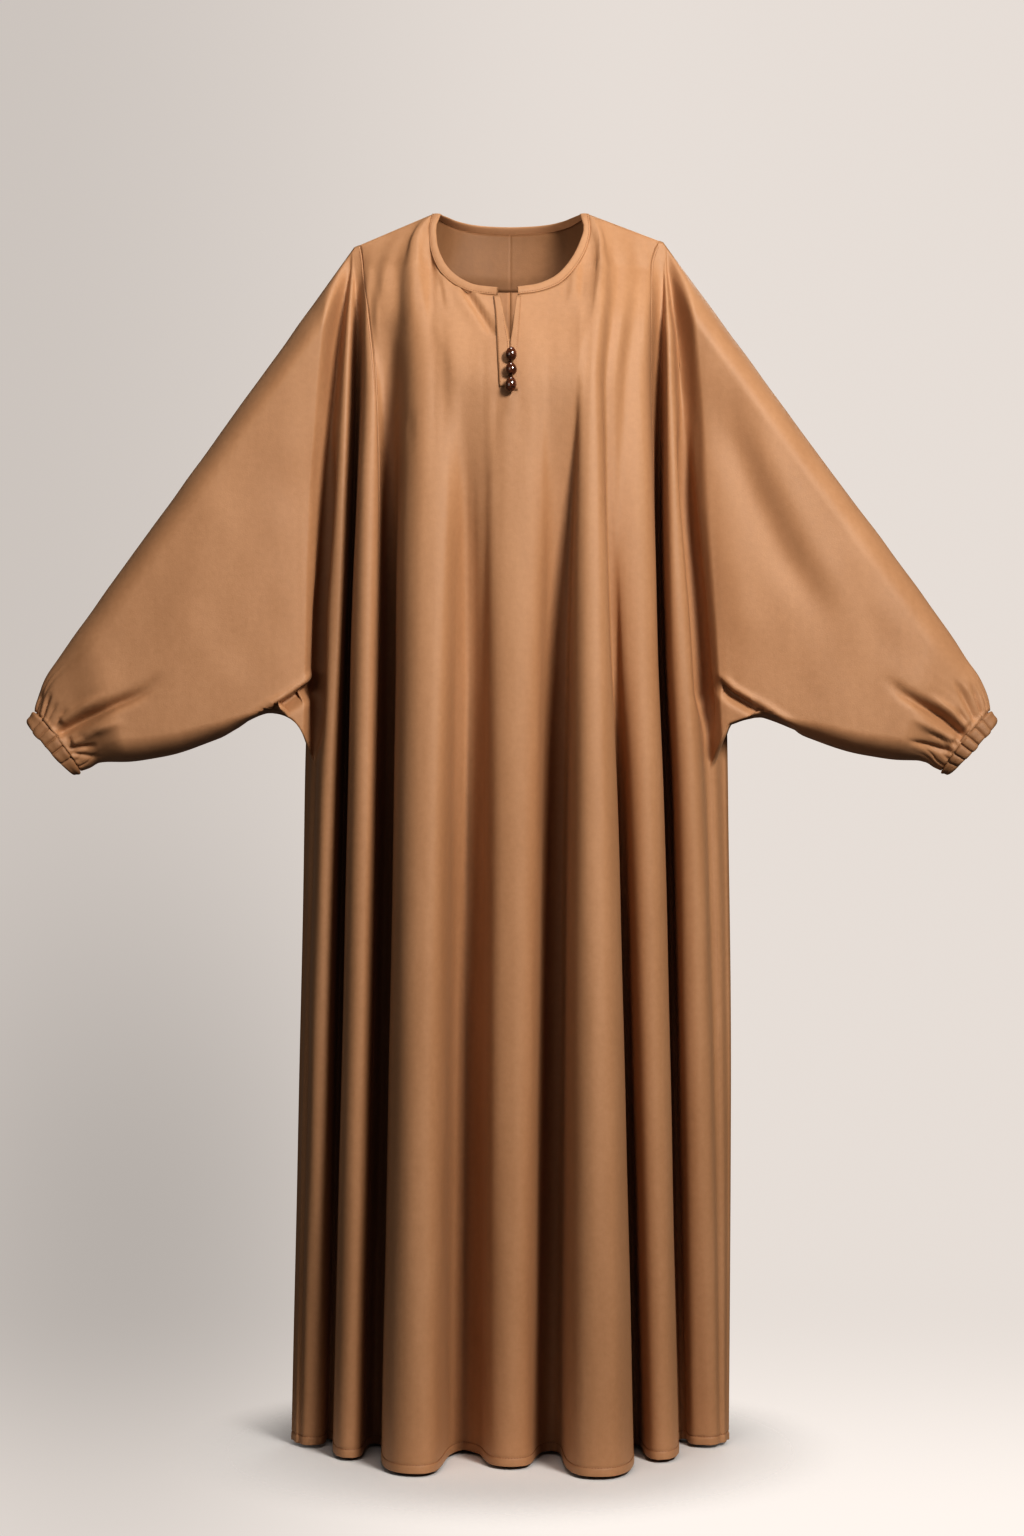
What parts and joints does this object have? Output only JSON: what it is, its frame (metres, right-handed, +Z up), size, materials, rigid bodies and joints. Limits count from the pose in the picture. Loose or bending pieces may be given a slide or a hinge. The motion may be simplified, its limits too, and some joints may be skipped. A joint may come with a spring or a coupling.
{
  "type": "abaya",
  "caption": "Floor-length batwing abaya in satin crepe, worn shape with open neck, slit front, bead buttons, elastic cuffs and deep vertical folds.",
  "frame": {"origin": "midway between the two points where the shoulder seams meet the neck binding, at their height, where the wearer's shoulders carry the gown", "axes": "+Z up, the front faces -Y, +X to the right of someone looking at the front"},
  "size_m": [1.1241, 0.3274, 1.4221],
  "materials": {
    "satin_crepe": "camel brown satin crepe, soft sheen, fine crinkled weave",
    "tape": "the same satin crepe folded to narrow tape and facing",
    "elastic_cuff": "the same satin crepe ruched over elastic",
    "bead": "dark brown, polished and glossy"
  },
  "bodies": {
    "root": {"front": "satin_crepe", "back_left": "satin_crepe", "back_right": "satin_crepe", "sleeve_left": "satin_crepe", "sleeve_right": "satin_crepe", "cuff_left": "elastic_cuff", "cuff_right": "elastic_cuff", "neck_binding": "tape", "placket_left": "tape", "placket_right": "tape", "back_neck_facing": "tape", "button_1": "bead", "button_2": "bead", "button_3": "bead"}
  },
  "joints": []
}
